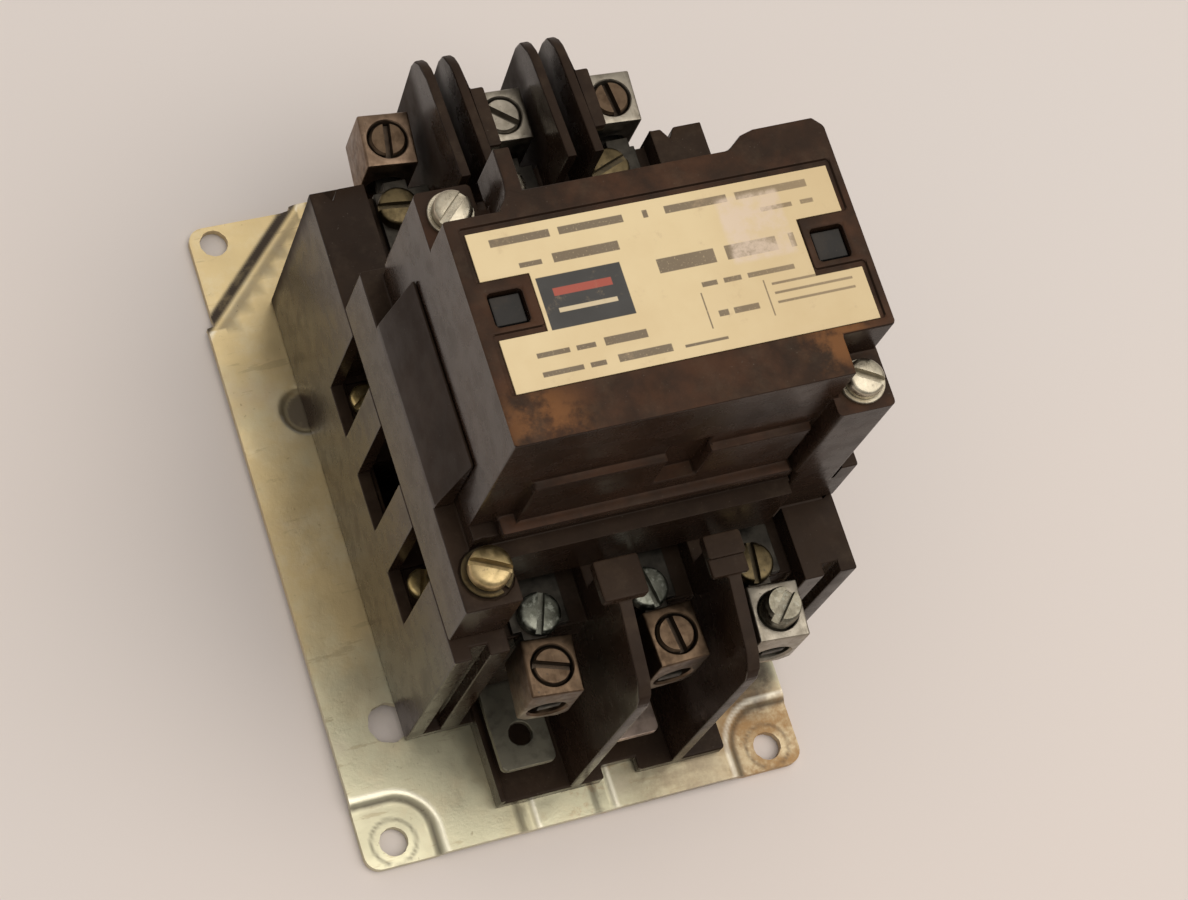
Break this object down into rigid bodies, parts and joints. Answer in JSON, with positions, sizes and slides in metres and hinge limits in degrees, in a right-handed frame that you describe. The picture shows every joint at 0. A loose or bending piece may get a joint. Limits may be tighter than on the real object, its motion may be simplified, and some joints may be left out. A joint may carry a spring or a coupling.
{
  "type": "industrial control relay",
  "caption": "Industrial control relay with screw lugs at both ends, a sprung sliding contact carrier and bridges, a coil and a label on a pressed steel plate.",
  "frame": {"origin": "middle of the whole object's footprint, on the plane of the mounting plate's rear pads; the plate's own centre is at x -1.475 mm, y -0.575 mm", "axes": "+Z points out of the panel towards the label, +Y points towards the line terminals, +X runs across the poles from pole 1 to pole 3"},
  "size_m": [0.0918, 0.1348, 0.1076],
  "materials": {
    "plated_steel": "zinc plated and yellow passivated, satin, with age spots",
    "housing_phenolic": "moulded thermoset, satin, dusty brown",
    "cover_phenolic": "moulded thermoset, satin, weathered reddish brown",
    "label_enamel": "cream printed sheet, satin",
    "zinc_screw": "bright zinc plated",
    "brass_screw": "aged brass-coloured plating",
    "copper_lug": "tarnished copper brown",
    "tinned_lug": "tinned, satin",
    "tinned_copper": "tinned copper, dull",
    "contact_copper": "bare copper alloy with silver facings",
    "spring_steel": "drawn wire, bright",
    "laminated_steel": "stacked silicon steel, oiled",
    "coil_resin": "dipped resin, glossy",
    "carrier_phenolic": "moulded thermoset, matte"
  },
  "bodies": {
    "base": {"mounting_plate": "plated_steel", "contact_housing": "housing_phenolic", "crossbar_housing": "housing_phenolic", "magnet_cover": "cover_phenolic", "nameplate": "label_enamel", "magnet_core": "laminated_steel", "coil": "coil_resin", "coil_terminal_1": "tinned_copper", "coil_terminal_2": "tinned_copper", "return_spring_1": "spring_steel", "return_spring_2": "spring_steel", "line_strap_1": "tinned_copper", "load_strap_1": "tinned_copper", "line_strap_2": "tinned_copper", "load_strap_2": "tinned_copper", "line_strap_3": "tinned_copper", "load_strap_3": "tinned_copper", "line_lug_1": "copper_lug", "line_lug_screw_1": "copper_lug", "line_strap_screw_1": "brass_screw", "line_lug_2": "tinned_lug", "line_lug_screw_2": "tinned_lug", "line_strap_screw_2": "zinc_screw", "line_lug_3": "tinned_lug", "line_lug_screw_3": "copper_lug", "line_strap_screw_3": "brass_screw", "load_lug_1": "copper_lug", "load_lug_screw_1": "copper_lug", "load_strap_screw_1": "zinc_screw", "load_lug_2": "copper_lug", "load_lug_screw_2": "copper_lug", "load_strap_screw_2": "zinc_screw", "load_lug_3": "tinned_lug", "load_lug_screw_3": "zinc_screw", "load_strap_screw_3": "brass_screw", "cover_washer_1": "zinc_screw", "cover_screw_1": "zinc_screw", "base_lock_washer_1": "brass_screw", "base_screw_1": "brass_screw", "cover_washer_2": "zinc_screw", "cover_screw_2": "zinc_screw", "base_lock_washer_2": "brass_screw", "base_screw_2": "brass_screw", "housing_screw_1": "brass_screw", "housing_screw_2": "brass_screw", "housing_screw_3": "brass_screw", "housing_screw_4": "brass_screw"},
    "contact_carrier": {"crossbar": "carrier_phenolic", "armature": "laminated_steel", "armature_clip": "spring_steel", "contact_spring_1": "spring_steel", "contact_spring_2": "spring_steel", "contact_spring_3": "spring_steel"},
    "bridge_1": {"contact_bridge_1": "contact_copper"},
    "bridge_2": {"contact_bridge_2": "contact_copper"},
    "bridge_3": {"contact_bridge_3": "contact_copper"}
  },
  "joints": [
    {"name": "crossbar_slide", "type": "slide", "parent": "base", "child": "contact_carrier", "axis": [0, 0, -1], "range_m": [0, 0.0055], "stiffness_N_per_m": 400, "springref_m": -0.004, "deforming": ["return_spring_1", "return_spring_2"]},
    {"name": "bridge_1_slide", "type": "slide", "parent": "contact_carrier", "child": "bridge_1", "axis": [0, 0, 1], "range_m": [0, 0.0015], "deforming": ["contact_spring_1"]},
    {"name": "bridge_2_slide", "type": "slide", "parent": "contact_carrier", "child": "bridge_2", "axis": [0, 0, 1], "range_m": [0, 0.0015], "deforming": ["contact_spring_2"]},
    {"name": "bridge_3_slide", "type": "slide", "parent": "contact_carrier", "child": "bridge_3", "axis": [0, 0, 1], "range_m": [0, 0.0015], "deforming": ["contact_spring_3"]}
  ],
  "couplings": [
    {"joint": "bridge_1_slide", "follows": "crossbar_slide", "ratio": 0.2727},
    {"joint": "bridge_2_slide", "follows": "crossbar_slide", "ratio": 0.2727},
    {"joint": "bridge_3_slide", "follows": "crossbar_slide", "ratio": 0.2727}
  ]
}
